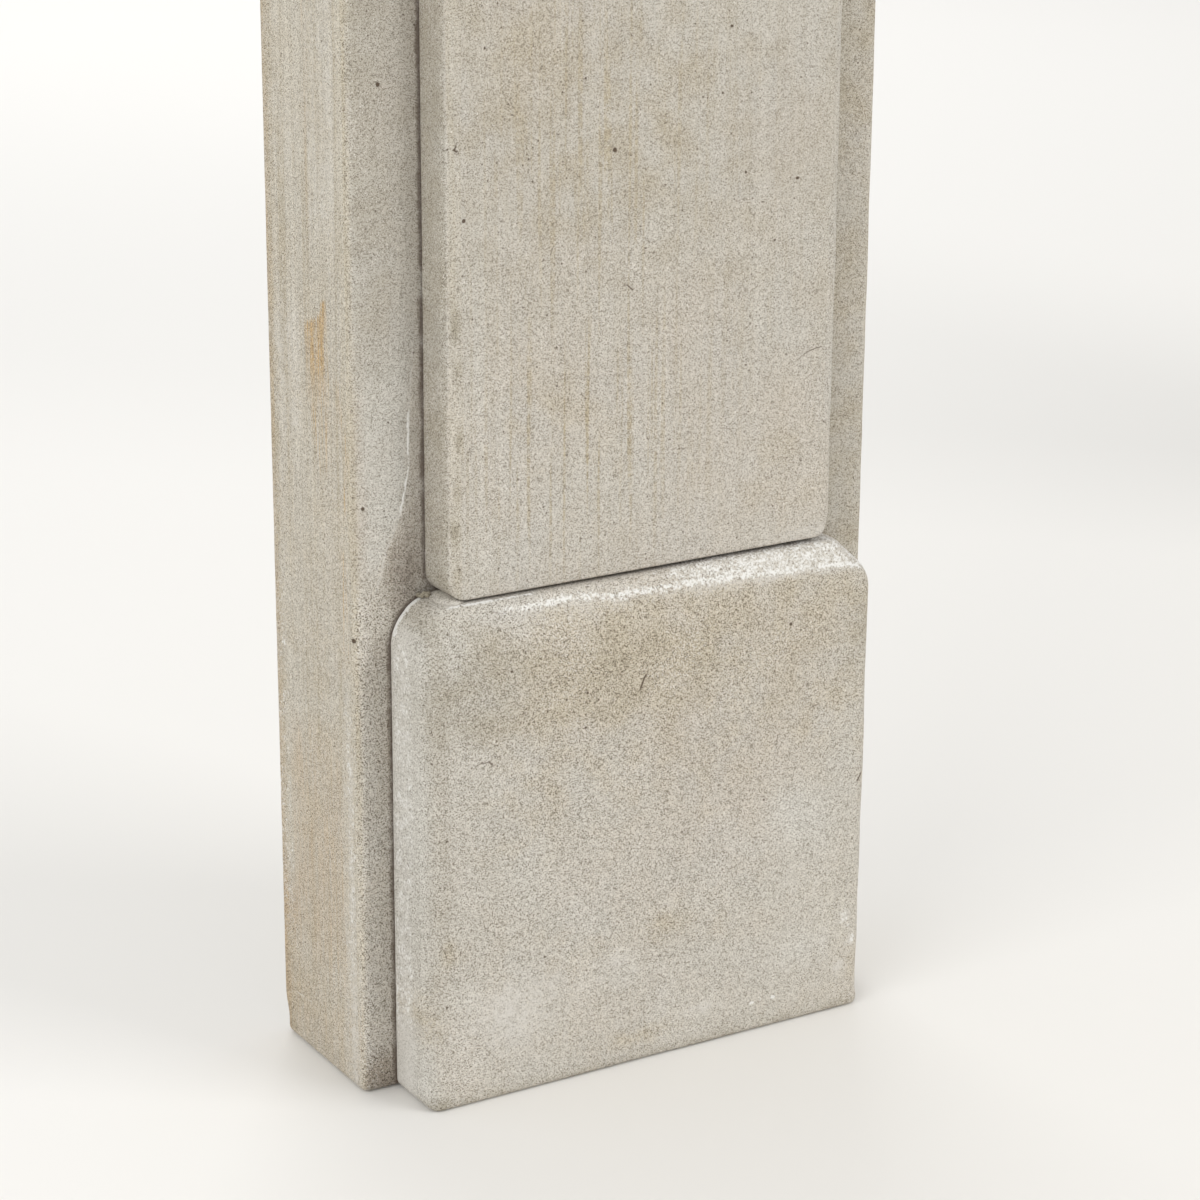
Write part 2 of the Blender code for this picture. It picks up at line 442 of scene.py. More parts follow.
class Stone(Shader):
    """The stone's nodes. Each method below lays one more layer over self.colour."""

    def __init__(self, material):
        super().__init__(material)
        self.place = self.node("TexCoord").outputs["Object"]
        self.noises = {}
        for name, (scale, detail, roughness, stretch) in NOISES.items():
            place = self.place if stretch == 1 else self.stretched(self.place, (1, 1, stretch))
            self.noises[name] = self.noise(place, scale, detail, roughness)
        self.ragged = self.noises["ragged"]
        patchy = self.times_plus(self.noises["flecks"], 0.65, self.times(self.ragged, 0.45))
        self.noises["patchy"] = self.add(patchy, -0.05)
        self.coarse = self.mask("coarse")
        self.streaked = self.mask("drag")
        self.colour = linear(STONE)

    def lay(self, share, tint):
        self.colour = self.mix(share, self.colour, linear(tint))

    def about_zero(self, name):
        """A noise moved down by its middle value."""
        return self.add(self.noises[name], -0.5)

    def tones(self, rows, where=None):
        """Lays rows such as CLOUDS, where a mask shows or all over."""
        for noise, start, full, strength, tint in rows:
            if where is not None:
                strength = self.times(where, strength)
            self.lay(self.times(self.rise(self.noises[noise], start, full), strength), tint)

    def stain(self, name):
        """Lays one of STAINS and gives how much of it shows."""
        tint, noise, raggedness, start, full, strength = STAINS[name]
        shown = self.mask(name)
        gate = self.times(self.rise(shown, 0.0, 0.25), raggedness)
        cut = self.times_plus(self.about_zero(noise), gate, shown)
        share = self.times(self.rise(cut, start, full), strength)
        self.lay(share, tint)
        return share

    def strokes(self):
        """Thin brownish upright strokes."""
        share = self.times(self.rise(self.noises["lines"], 0.53, 0.63), self.mask("strokes"))
        share = self.times(share, self.rise(self.ragged, 0.3, 0.6))
        self.lay(self.times(share, 0.75), STROKE)

    def cells(self, scale):
        """Cells of one size and the three random numbers of each."""
        cells = self.node("TexVoronoi", {"Vector": self.place, "Scale": scale})
        parts = self.node("SeparateColor", {0: cells.outputs["Color"]})
        return cells, [parts.outputs[i] for i in range(3)]

    def grain(self, warmth):
        """Grains of sand, stronger where the stone is warm or coarse, and a few light and dark."""
        _, (pick, second, third) = self.cells(GRAIN_CELLS)
        contrast = self.times_plus(warmth, 0.34, 0.7)
        contrast = self.times_plus(self.coarse, 0.42, contrast)
        pitted = self.math("SUBTRACT", 0.31, self.math("POWER", pick, 2.2))
        value = self.times(pitted, contrast)
        value = self.times_plus(self.about_zero("mottle"), 0.14, value)
        dragged = self.times(self.streaked, 0.4)
        value = self.times_plus(self.about_zero("drag"), dragged, value)
        channels = {i: self.times_plus(value, GRAIN_TINT[i], 1.03) for i in range(3)}
        grain = self.node("CombineColor", channels).outputs[0]
        self.colour = self.mix(1.0, self.colour, grain, "MULTIPLY")
        sandy = self.times(self.rise(self.noises["sand"], 0.48, 0.66), self.coarse)
        sandy = self.times_plus(sandy, -0.12, 0.982)
        light = self.rise(self.math("SUBTRACT", third, sandy), 0.0, 0.005)
        self.lay(self.times(light, 0.7), LIGHT_GRAIN)
        second = self.times_plus(self.coarse, 0.02, second)
        self.lay(self.times(self.rise(second, 0.975, 0.98), 0.45), DARK_GRAIN)

    def specks(self, warmth):
        """Round dark specks, more of them where the stone is warm or coarse."""
        cells, (first, second, third) = self.cells(SPECK_CELLS)
        size = self.times_plus(second, 0.08, 0.11)
        spread = self.math("DIVIDE", cells.outputs["Distance"], size)
        chosen = self.times_plus(warmth, 0.2, first)
        chosen = self.rise(self.times_plus(self.coarse, 0.08, chosen), 0.62, 0.64)
        depth = self.times_plus(self.math("POWER", third, 2.0), 0.75, 0.15)
        self.lay(self.times(self.times(self.rise(spread, 1.15, 0.85), chosen), depth), DARK_GRAIN)

    def cracks(self):
        """Short fine cracks in random directions: the edges of thin discs scattered in the stone."""
        cells, (first, _, _) = self.cells(CRACK_CELLS)
        away = {0: self.place, 1: cells.outputs["Position"]}
        away = self.node("VectorMath", away, operation="SUBTRACT").outputs[0]
        inputs = {"Vector": away, "Rotation": self.stretched(cells.outputs["Color"], CRACK_TURN)}
        turned = self.node("VectorRotate", inputs, rotation_type="EULER_XYZ").outputs[0]
        axes = self.node("SeparateXYZ", {0: turned})
        bend = self.times(self.times(axes.outputs[0], axes.outputs[0]), CRACK_BEND)
        off_disc = self.math("ABSOLUTE", self.math("SUBTRACT", axes.outputs[2], bend))
        reach = self.node("VectorMath", {0: turned}, operation="LENGTH").outputs["Value"]
        share = self.times(self.rise(off_disc, *CRACK_THICKNESS), self.rise(reach, *CRACK_RADIUS))
        share = self.times(share, self.rise(first, 0.8, 0.82))
        self.lay(self.times(share, 0.5), DARK_GRAIN)

    def crevices(self):
        """Painted shade and dirt beside other blocks, thick in the joint and thin around it."""
        crevice = self.node("SeparateXYZ", {0: self.vector("crevice")})
        gap = self.times_plus(self.about_zero("ragged"), 3.0, crevice.outputs[0])
        thick = self.times(self.rise(gap, 2.0, 0.5), 0.8)
        dirt = self.math("MAXIMUM", thick, self.times(self.rise(gap, 9, 0), 0.12))
        patches = self.rise(self.noises["mottle"], 0.1, 0.5)
        self.lay(self.times(dirt, self.times(crevice.outputs[1], patches)), GRIME_AND_SHADE)

    def arrises(self):
        """Paler stone on the arrises: partly wear, partly painted highlight."""
        share = self.times(self.mask("arris"), self.rise(self.ragged, 0.35, 0.75))
        self.lay(self.times(share, 0.1), DUST_AND_PAINTED_LIGHT)

    def tide(self):
        """A thin white line."""
        tide = self.node("SeparateXYZ", {0: self.vector("tide")})
        away = self.times_plus(self.about_zero("ragged"), 3.0, tide.outputs[0])
        line = self.times(self.rise(self.math("ABSOLUTE", away), 0.7, 0.15), tide.outputs[1])
        self.lay(self.times(line, self.rise(self.ragged, 0.32, 0.55)), LIME)

    def marks(self):
        """The dark and the pale marks that the meshes carry."""
        axes = self.node("SeparateXYZ", {0: self.vector("mark")})
        width = self.mask("mark_width")
        past = self.math("SUBTRACT", self.math("ABSOLUTE", axes.outputs[0]), axes.outputs[2])
        past = self.math("MAXIMUM", past, 0.0)
        across = self.times_plus(self.about_zero("ragged"), 0.9, axes.outputs[1])
        squares = self.add(self.times(past, past), self.times(across, across))
        distance = self.math("SQRT", squares)
        dark = self.rise(self.math("SUBTRACT", distance, width), 0.15, -0.15)
        dark = self.times(dark, self.rise(width, 0, 0.3))
        self.lay(self.times(dark, 0.9), DARK_GRAIN)
        pale = self.times(self.rise(self.add(distance, width), 0.15, -0.15), self.rise(width, 0, -0.6))
        self.lay(self.times(pale, 0.7), LIME)


def new_material(name, roughness, specular):
    material = bpy.data.materials.new(name)
    material.use_nodes = True
    shader = material.node_tree.nodes["Principled BSDF"]
    shader.inputs["Roughness"].default_value = roughness
    shader.inputs["Specular IOR Level"].default_value = specular
    return material, shader


def stone_material():
    material, shader = new_material("sandstone", ROUGHNESS, SPECULAR)
    stone = Stone(material)
    stone.tones(CLOUDS)
    stone.stain("cream")
    stone.tones(BANDS, stone.streaked)
    stone.stain("grey")
    warmth = stone.stain("warm")
    for name in ("brown", "olive", "rust", "grime"):
        stone.stain(name)
    stone.strokes()
    stone.grain(warmth)
    stone.specks(warmth)
    stone.cracks()
    stone.crevices()
    stone.stain("dust")
    stone.arrises()
    lime = stone.stain("lime")
    stone.tide()
    stone.marks()

    crust = stone.times_plus(stone.noises["flecks"], 1.5, 0.6)
    height = stone.times_plus(lime, crust, stone.noises["middle"])
    inputs = {"Strength": BUMP_STRENGTH, "Distance": BUMP_DISTANCE, "Height": height}
    bump = stone.node("Bump", inputs)
    stone.tree.links.new(stone.colour, shader.inputs["Base Color"])
    stone.tree.links.new(bump.outputs["Normal"], shader.inputs["Normal"])
    return material


# Forms of the blocks, in millimetres
JAMB = Form(front=4.2, foot=3.2, head=1.2, back=2.6, heel=6.0, corners=(3.0, 1.2))
LINTEL = Form(front=4.2, foot=4.2, head=1.2, back=2.6, heel=2.6, corners=(1.2, 1.2))
PILASTER = Form(front=5.0, foot=1.3, head=1.3, back=0.3, heel=0.3, corners=(8.5, 8.5))
FRIEZE = Form(front=1.3, foot=5.0, head=5.0, back=0.3, heel=0.3, corners=(8.5, 8.5))
PLINTH_SPLAY = Splay("top", 11.5, 10.5, 8.0, 4.5, 8.0, 12.0)
CORNER_SPLAY = Splay("bottom", 11.5, 10.5, 8.0, 4.5, 8.0, 12.0)
SHELF_SPLAY = Splay("bottom", 14.0, 14.0, 14.0, 4.0, 4.0, 8.2)
PLINTH = Form(7.2, 2.4, 2.0, 0.3, 0.3, (4.6, 4.5), PLINTH_SPLAY)
CORNER = Form(7.2, 2.0, 1.2, 0.3, 0.3, (4.5, 1.2), CORNER_SPLAY)
SHELF = Form(8.2, 3.4, 8.2, 2.6, 2.6, (3.4, 8.2), SHELF_SPLAY)

# Form, mesh spacing at the edges and coarse spacing in X, Y and Z, in millimetres
BLOCKS = {
    "left_jamb_slab": (JAMB, 0.7, 6.0, 3.0, 8.0),
    "left_plinth_block": (PLINTH, 0.6, 1.7, 2.6, 1.7),
    "left_pilaster": (PILASTER, 0.5, 2.4, 2.4, 8.0),
    "left_corner_block": (CORNER, 1.2, 5.0, 4.0, 5.0),
    "right_jamb_slab": (JAMB, 1.2, 8.0, 6.0, 8.0),
    "right_plinth_block": (PLINTH, 1.2, 4.0, 4.0, 4.0),
    "right_pilaster": (PILASTER, 1.0, 6.0, 4.0, 8.0),
    "right_corner_block": (CORNER, 1.2, 5.0, 4.0, 5.0),
    "lintel_slab": (LINTEL, 1.2, 9.0, 7.0, 8.0),
    "frieze_panel": (FRIEZE, 1.0, 9.0, 4.0, 6.0),
    "mantel_shelf": (SHELF, 1.2, 9.0, 8.0, 6.0),
}

# Closer spacing in millimetres from the block's corner: start, end and step, by axis
ZONES = {
    "left_jamb_slab": (((10, 30, 1.6),), (), ((0, 430, 2.3),)),
    "left_plinth_block": ((), (), ((186, 201, 0.9),)),
    "left_pilaster": (((0, 9, 0.9),), (), ((0, 230, 2.4),)),
}


def blob(a, b, at, reach):
    """1 at a place and falling to nothing about it."""
    return np.exp(-(((a - at[0]) / reach[0]) ** 2) - ((b - at[1]) / reach[1]) ** 2)


def ridge(value, middle, reach):
    """1 at the middle and falling to nothing on both sides."""
    return np.exp(-(((value - middle) / reach) ** 2))


def between(value, start, end, soft):
    """1 from start to end, falling to 0 over soft outside them."""
    return rise(value, start - soft, start) * rise(value, end + soft, end)


def clear_masks(count):
    """Every mask with a zero for each point, to which the stains below are added."""
    return SimpleNamespace(**{name: np.zeros(count) for name in MASKS})


def add_blots(mask, blots, x, z, share=1.0):
    for *places, strength in blots:
        mask += share * blob(x, z, places[:2], places[2:]) * strength


# All places below are in millimetres from ORIGIN.

# The left leg's own stains reach this height and fade out above it, over clouded ones that are
# weak below it
CLOSE_HEIGHT = 430.0
CLOSE_FADE = 60.0
CLOUDED_SHARE = 0.2

# The white line on the left jamb's front: heights, and how far it lies from the outer arris
TIDE_HEIGHTS = (180, 187, 200, 209, 220, 225.5, 234.6, 249.6, 268.6, 283.5, 330)
TIDE_PLACES = (-8, 0, 7.5, 10.5, 13.7, 16.7, 20.1, 22.9, 23.2, 24.6, 28)

# Upper edge of the rust on the left jamb's side face: places and heights
RUST_PLACES = (19, 21, 23.5, 26, 36)
RUST_HEIGHTS = (312, 315, 308, 305, 301)

# A strand of rust under it: heights and places
STRAND_HEIGHTS = (228, 258, 284)
STRAND_PLACES = (6.5, 5.8, 12.8)

# Lower edge of the lime on the left plinth's splay, with its share there and above the edge
LIME_PLACES = (14, 45, 62, 84, 97, 106, 134, 161, 180, 204, 217)
LIME_HEIGHTS = (197, 195.5, 196.1, 196.5, 194.2, 194.5, 194.4, 193.4, 192.6, 191.2, 189)
LIME_SHARES = (0.05, 0.4, 0.62, 0.68, 0.64, 0.68, 0.72, 0.7, 0.7, 0.72, 0.75)
LIME_COVER = 0.54

# Blots: place across and up, reach both ways, and strength
PILASTER_SMEARS = (
    (33.2, 306, 2.2, 7, 0.5),
    (34.0, 289, 1.8, 6, 0.36),
    (34.2, 264, 1.8, 5, 0.5),
    (33.6, 246, 1.8, 6, 0.32),
    (32.4, 229, 2.6, 6, 0.5),
    (33.0, 214, 2.2, 5, 0.2),
)
PILASTER_OCHRES = (
    (38, 369, 3, 5, 0.3),
    (62, 398, 22, 30, 0.26),
    (100, 352, 32, 26, 0.32),
    (134, 385, 24, 30, 0.26),
    (150, 330, 30, 26, 0.16),
    (76, 262, 34, 26, 0.26),
    (178, 232, 22, 18, 0.32),
)
PLINTH_OCHRES = (
    (22.5, 66, 4, 7, 0.6),
    (14.5, 38, 5, 9, 0.6),
    (85, 52, 9, 7, 0.35),
    (113, 56, 10, 8, 0.35),
    (60, 62, 14, 14, 0.25),
    (48, 108, 18, 22, 0.22),
    (150, 58, 18, 14, 0.22),
    (110, 11, 20, 5, 0.6),
    (125, 58, 9, 7, 0.4),
    (212, 22, 5, 10, 0.4),
)
PLINTH_GREYS = (
    (26, 184, 15, 14, 0.6),
    (30, 140, 10, 40, 0.3),
    (58, 92, 16, 20, 0.35),
    (190, 84, 16, 18, 0.5),
    (205, 120, 9, 26, 0.4),
    (185, 30, 22, 14, 0.5),
    (98, 42, 14, 12, 0.5),
    (11, 120, 5, 60, 0.5),
    (178, 96, 14, 12, 0.6),
    (140, 40, 14, 8, 0.4),
    (14, 12, 8, 14, 0.5),
)
PLINTH_PALES = (
    (207, 42, 3, 4, 0.45),
    (210, 30, 2.2, 5, 0.4),
    (204, 19, 3, 4, 0.5),
    (137, 16, 9, 2.5, 0.42),
    (48, 34, 16, 14, 0.3),
    (97, 46, 8, 7, 0.3),
    (60, 42, 30, 20, 0.28),
    (186, 60, 20, 24, 0.28),
    (180, 100, 26, 20, 0.16),
    (98, 188, 50, 3, 0.1),
)


def left_jamb_stains(x, y, z, masks):
    """Each line adds where a stain lies times its strength; the blot above the plinth's shoulder
    also paints shade. inner is the face to the opening, and strip and leg are the front's bare
    parts right and left of the pilaster.
    """
    front, side = rise(y, 3.0, 0.6), rise(x, 3.0, 0.6)
    inner = rise(x, 228, 230.4)
    strip = front * rise(x, 196, 201)
    tide = x - np.interp(z, TIDE_HEIGHTS, TIDE_PLACES)
    strength = between(z, 238, 268, 7) * 0.75 + between(z, 208, 292, 8) * 0.25
    masks.tide[:, 0] = np.where(front > 0.3, tide, -FAR)
    masks.tide[:, 1] = strength
    masks.cream += side * 0.5 + inner * 0.4
    masks.cream += side * between(z, 240, 480, 30) * 0.25 * between(y, 3.5, 7, 2)
    masks.olive += side * rise(z, 290, 340) * 0.14
    masks.olive += front * between(x, 2, 11, 3) * between(z, 245, 420, 20) * 0.12
    band = rise(z, 312, 345) * between(y, 13, 31, 4) + between(z, 262, 300, 12) * between(y, 42, 64, 4)
    masks.dust += side * band * 0.32
    masks.lime += side * band * 0.1
    masks.warm += side * (0.16 + 0.2 * blob(y, z, (34, 92), (24, 60)))
    masks.brown += side * rise(z, 310, 330) * between(y, 32, 35, 2) * 0.3
    masks.warm += side * rise(y, 57, 67) * 0.4 + inner * 0.3
    masks.warm += side * blob(y, z, (52, 22), (16, 22)) * 0.4
    masks.brown += side * between(y, 18, 54, 10) * between(z, 62, 125, 34) * 0.3
    masks.brown += side * rise(z, 66, 8) * 0.22 + side * rise(z, 225, 60) * 0.1
    masks.brown += side * rise(y, 61, 68) * 0.4
    masks.brown += side * blob(y, z, (64, 58), (8, 14)) * 0.4
    low_front = 0.24 - 0.12 * rise(z, 200, 185) + 0.1 * rise(z, 270, 340)
    masks.olive += (1 - side) * front * (low_front - 0.1 * between(x, 20, 30, 4))
    masks.olive += strip * (-0.07 + 0.26 * rise(x, 220, 204) + 0.14 * rise(z, 300, 240))
    masks.olive += side * rise(z, 24, 3) * 0.22 + inner * 0.15
    masks.warm += strip * 0.36
    masks.olive += strip * blob(x, z, (206, 318), (4, 9)) * 0.3
    masks.dust += strip * blob(x, z, (212, 236), (9, 20)) * 0.25
    leg = front * rise(x, 60, 40)
    # Painted shade and dirt on the front just above the plinth's shoulder
    masks.grime += leg * blob(x, z, (21, 209), (8, 18)) * 0.42
    masks.coarse += leg * blob(x, z, (22, 215), (12, 22)) * 0.7
    masks.grime += leg * rise(z, 30, 4) * 0.42 + leg * rise(tide, 0.2, 3.2) * 0.18
    masks.warm += leg * rise(z, 40, 4) * 0.3
    masks.dust += leg * rise(z, 196, 180) * between(x, 3, 7, 2) * 0.22
    patch = between(z, 217, 285, 22) * 0.62 + rise(z, 280, 320) * 0.1
    masks.grey += leg * rise(tide, 0.5, -2.0) * rise(x, 2, 7) * patch
    masks.dust += leg * rise(tide, 0.5, -2.0) * between(z, 222, 268, 16) * 0.12
    masks.olive -= leg * rise(tide, 0.5, -2.0) * between(z, 219, 275, 14) * 0.14
    top = np.interp(y, RUST_PLACES, RUST_HEIGHTS)
    body = between(y, 20.5, 37, 2) * rise(z, top + 1.2, top - 1.2) * rise(z, 262, 304)
    tail = between(y, 21, 32, 4) * between(z, 250, 285, 14) * 0.3
    strand = np.interp(z, STRAND_HEIGHTS, STRAND_PLACES)
    strands = ridge(y, strand, 2.4) * between(z, 240, 280, 12) * 0.45
    masks.rust += side * (0.9 * body + tail + strands)
    masks.rust += side * ridge(y, 8.5, 4) * between(z, 176, 215, 12) * 0.3
    masks.drag += side * (0.6 + 0.4 * rise(z, 150, 260)) + front * 0.2
    masks.coarse += 0.2 + 0.45 * side + 1.2 * leg * rise(z, 215, 195)
    masks.strokes += side * 0.35
    low = rise(z, 195, 130)
    near_arris = side * ridge(y, 8, 5.5)
    masks.dust += near_arris * (0.08 + 0.46 * low) + side * 0.08
    masks.lime += near_arris * between(z, 48, 150, 25) * 0.36
    back_edge = side * between(y, 60, 69, 3)
    masks.dust += back_edge * between(z, 55, 235, 20) * 0.26
    masks.lime += back_edge * between(z, 60, 190, 20) * 0.3
    masks.dust += side * blob(y, z, (50, 190), (14, 60)) * 0.12


def left_pilaster_stains(x, y, z, masks):
    front, side = rise(y, -16.5, -18.2), rise(x, 34, 31)
    dirty = side * rise(y, -17.6, -16.6)
    masks.olive += dirty * 0.5 + rise(x, 199, 201.5) * rise(y, -17, -15) * 0.5
    masks.dust += dirty * blob(y, z, (-12, 240), (5, 22)) * 0.2
    for mask in (masks.olive, masks.warm):
        add_blots(mask, PILASTER_SMEARS, x, z, front)
    add_blots(masks.warm, PILASTER_OCHRES, x, z, front)
    masks.cream += between(x, 31, 35, 1) * rise(y, -16.6, -17.6) * 0.4
    masks.olive += front * (0.15 + 0.12 * rise(z, 260, 330))
    masks.grey += front * between(x, 36, 44, 4) * rise(z, 345, 320) * 0.3
    masks.grey += front * between(x, 34, 48, 8) * rise(z, 380, 410) * 0.25
    masks.drag += front * 0.3
    masks.coarse += 0.35 * rise(z, 350, 320) + 0.3 * dirty
    masks.strokes += front * (
        1.3 * blob(x, z, (86, 258), (44, 52)) + 0.9 * blob(x, z, (95, 375), (55, 60))
    )
    masks.warm += front * blob(x, z, (80, 380), (45, 60)) * 0.14
    masks.dust += front * blob(x, z, (188, 206), (24, 4.5)) * 0.4
    masks.dust += front * between(z, 201, 206, 3) * 0.12
    masks.warm += front * rise(z, 370, 430) * 0.15
    bed = PILASTER_FOOT + SLOPE_OF_BED / MM * (x - PILASTER_LEFT) / PILASTER_WIDTH
    # Painted shade of the gap under the pilaster's foot, with dirt, stronger towards the right
    masks.grime += rise(z - bed, 0.6, 0.1) * rise(y, -18.3, -17.4) * rise(x, 50, 130) * 0.5


def left_plinth_stains(x, y, z, masks):
    side = rise(x, 19, 15.5) * rise(y, -26.5, -22)
    edge = np.interp(x, LIME_PLACES, LIME_HEIGHTS)
    share = np.interp(x, LIME_PLACES, LIME_SHARES)
    body = rise(z, edge + 0.5, edge - 3)
    crust = ridge(z - edge, 0.8, 2.0)
    cover = rise(z, edge - 1.2, edge + 1.2) * (0.5 * rise(x, 50, 100) + 0.5 * rise(x, 110, 145))
    masks.lime += np.maximum(crust * share, cover * LIME_COVER)
    top = rise(z, 199.8, 200.6)
    masks.lime += top * rise(y, -18.4, -19.4) * between(x, 26, 62, 6) * 0.85
    # Painted shade and dirt on the bed under the pilaster's foot, stronger towards the right
    masks.grime += top * rise(y, -19.2, -18.2) * rise(x, 60, 170) * 0.6
    masks.dust += top * rise(x, 54, 40) * 0.5 + rise(z, 60, 25) * 0.19
    dusty = 0.06 + 0.28 * rise(x, 36, 60) + 0.24 * rise(x, 110, 170)
    masks.dust += rise(z, 187, 193) * dusty * (1 - 0.35 * side)
    # Painted light: the left side face is painted paler and greyer to look as lit as the front
    painted_light_flank = rise(x, 18.5, 15.5)
    masks.dust += painted_light_flank * (0.14 + 0.42 * rise(y, -21, -10)) + body * (1 - painted_light_flank) * 0.06
    masks.grey += painted_light_flank * 0.25
    flecked = rise(x, 20, 16) * rise(z, 194, 182) * rise(z, 20, 36)
    masks.lime += flecked * (0.16 + 0.26 * between(y, -14, -4, 4))
    rim = rise(x, 30, 26) * rise(y, -4.5, -1.8)
    masks.lime += rim * rise(z, 184, 190) * 0.85
    masks.lime += rim * between(z, 4, 44, 12) * 0.3
    masks.olive += between(x, 16, 22, 3) * (1 - side) * 0.16
    masks.olive += blob(x, z, (32, 172), (24, 28)) * 0.4 + (1 - side) * 0.05
    masks.olive += blob(x, z, (30, 90), (22, 60)) * 0.16
    masks.warm += blob(x, z, (34, 174), (20, 22)) * 0.2
    masks.cream += rise(z, 100, 40) * rise(x, 24, 40) * 0.14 + rise(x, 150, 200) * 0.12
    masks.coarse += 1.0 - 0.3 * rise(x, 130, 200) - 0.3 * rise(z, 60, 10) * rise(x, 30, 60)
    zone = rise(x, 24, 70) * rise(z, 62, 172) * body
    masks.warm += zone * 0.46 + blob(x, z, (104, 170), (42, 15)) * body * 0.38
    masks.warm += blob(x, z, (185, 178), (26, 10)) * body * 0.08
    masks.olive += zone * 0.13 + blob(x, z, (98, 168), (34, 13)) * body * 0.15
    masks.olive += blob(x, z, (210, 165), (7, 18)) * body * 0.2
    add_blots(masks.warm, PLINTH_OCHRES, x, z)
    add_blots(masks.grey, PLINTH_GREYS, x, z)
    add_blots(masks.dust, PLINTH_PALES, x, z)
    masks.lime += blob(x, z, (207, 41), (3, 6)) * 0.45 + blob(x, z, (211, 32), (2, 5)) * 0.45
    masks.olive += rise(z, 9, 1) * 0.4


def general_stains(points, seed, masks):
    """Clouded staining, by each block's own waves."""
    masks.cream += 0.5 * rise(waves(points, 160 * MM, seed + 5), -0.2, 1.2)
    masks.warm += 0.14 + 0.4 * rise(waves(points, 190 * MM, seed), 0.0, 1.2)
    masks.olive += 0.07
    masks.grey += 0.6 * rise(waves(points, 120 * MM, seed + 1), 0.1, 1.2)
    masks.olive += 0.22 * rise(waves(points, 90 * MM, seed + 2), 0.0, 1.4)
    masks.drag += 0.2
    masks.coarse += 0.4
    masks.strokes += 0.8 * rise(waves(points, 150 * MM, seed + 3), 0.0, 1.0)
    masks.dust += 0.22 * rise(waves(points, 60 * MM, seed + 4), 0.1, 1.2)


def splay_stains(block, points, seed, masks):
    """Lime and dust that lie on a splayed end."""
    splay = block.form.splay
    past = points[:, 2] - block.high[2] if splay.end == "top" else block.low[2] - points[:, 2]
    edge = splay.height + 2 * MM * waves(points, 50 * MM, seed + 6)
    on_splay = rise(past, -edge - 1.5 * MM, -edge + 1.5 * MM)
    upward = 1.0 if splay.end == "top" else 0.35
    share = rise(waves(points, 110 * MM, seed + 7), -0.9, 0.6)
    masks.lime += upward * ridge(past, -edge, 2.2 * MM) * 0.5 * share
    masks.dust += upward * on_splay * 0.4


# How strongly painted shade and dirt darken a block beside its neighbours, by its kind, and on other
# kinds
CREVICE_SHARES = {"plinth_block": 0.06, "pilaster": 0.5, "jamb_slab": 1.0}
CREVICE_SHARE = 0.6


def crevices(node, points):
    """How far each point lies from the other blocks, in millimetres."""
    least = np.full(len(points), np.inf)
    for other, (form, *_) in BLOCKS.items():
        if other != node:
            block = Block(other, form)
            ends, front, back, bottom, top = block.planes(points)
            outline = block.outline(ends, bottom, top)
            gap = np.hypot(np.maximum(outline, 0), np.maximum(np.maximum(front, back), 0))
            least = np.minimum(least, gap)
    return np.minimum(least / MM, FAR)


# Fine lines by node and fixed axis: places across and up of both ends, half width, which is
# below 0 for a pale one, and bend
LINES = {
    ("left_pilaster", 1): (
        (180.8, 347.1, 181.2, 347.1, 0.6, 0),
        (150.0, 406.4, 150.3, 406.4, 0.5, 0),
        (31.0, 370.4, 34.4, 368.9, 0.3, 0.6),
        (34.0, 372.6, 34.6, 369.4, 0.16, 0),
        (59.5, 383.5, 54.9, 373.9, 0.1, 0.9),
        (129.4, 381.4, 135.1, 381.3, 0.12, 0.4),
        (105.4, 313.9, 108.1, 311.7, 0.24, 0),
        (187.0, 278.3, 194.5, 280.0, 0.22, 0.4),
        (182.4, 275.4, 186.0, 278.0, 0.14, 0),
        (112.0, 258.1, 129.6, 259.8, 0.07, 0.8),
    ),
    ("left_pilaster", 0): (
        (-3.1, 269.7, -4.1, 246.7, -0.2, 0),
    ),
    ("left_plinth_block", 1): (
        (107.6, 158.6, 109.5, 162.6, 0.36, 0.2),
        (106.4, 156.2, 107.4, 158.2, 0.14, 0),
        (186.7, 135.1, 191.5, 136.4, 0.2, 0.4),
        (34.4, 139.3, 38.6, 140.0, 0.2, 0.6),
        (38.6, 140.8, 42.3, 138.6, 0.22, 0.5),
        (105.5, 112.3, 102.5, 97.9, 0.07, 0.5),
        (127.9, 97.0, 127.6, 86.9, 0.12, 0),
        (126.2, 94.2, 129.4, 94.6, 0.12, 0),
        (211.4, 100.0, 213.3, 102.3, 0.4, 0),
        (171.6, 126.9, 171.2, 122.7, 0.18, 0),
        (80.3, 106.2, 85.7, 104.3, 0.12, 0.8),
        (44.1, 197.3, 51.8, 195.7, 0.14, 0),
        (171.8, 13.1, 172.6, 12.9, -0.7, 0),
        (161.4, 12.8, 162.4, 12.8, -0.6, 0),
    ),
    ("left_jamb_slab", 0): (
        (58.5, 21.0, 53.0, 21.4, -0.3, 0.3),
        (51.0, 21.0, 45.1, 22.0, -0.22, 0.3),
    ),
}

